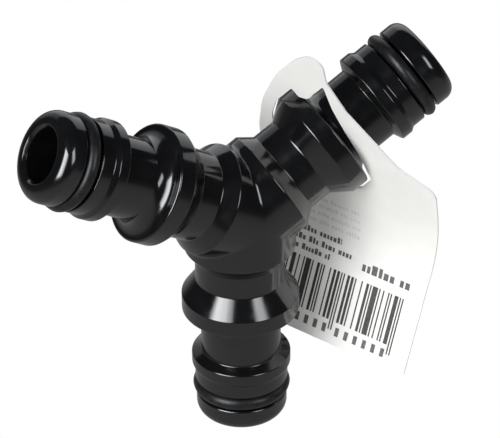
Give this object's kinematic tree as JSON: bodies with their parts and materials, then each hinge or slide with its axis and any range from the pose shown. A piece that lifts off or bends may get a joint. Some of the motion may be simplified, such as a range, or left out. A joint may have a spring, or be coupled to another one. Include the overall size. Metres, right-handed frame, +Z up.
{
  "type": "three-way hose splitter",
  "caption": "Y-shaped garden hose splitter with three male quick-connect arms, each with an O-ring seal, and a film hang tag on one neck.",
  "frame": {"origin": "on the surface the splitter stands on, under the middle of its bounding box; the hub's centre is 42 mm above the surface and 3.7 mm behind the origin", "axes": "+Z up along the lower arm towards the hub, +X towards the arm that carries the tag, -Y towards the viewer; the three arms lie in the XZ plane through the hub"},
  "size_m": [0.079, 0.0347, 0.0726],
  "materials": {
    "black_plastic": "gloss black injection moulding",
    "o_ring_rubber": "satin black rubber",
    "tag_film": "milky translucent film"
  },
  "bodies": {
    "splitter": {"manifold_body": "black_plastic", "o_ring_lower": "o_ring_rubber", "o_ring_left": "o_ring_rubber", "o_ring_right": "o_ring_rubber"},
    "tag": {"hang_tag": "tag_film"}
  },
  "joints": [
    {"name": "tag_swing", "type": "hinge", "parent": "splitter", "child": "tag", "pos_m": [0.01992, 0.0037, 0.0535], "axis": [0.866, 0, 0.5], "range_deg": [-10, 170]}
  ]
}
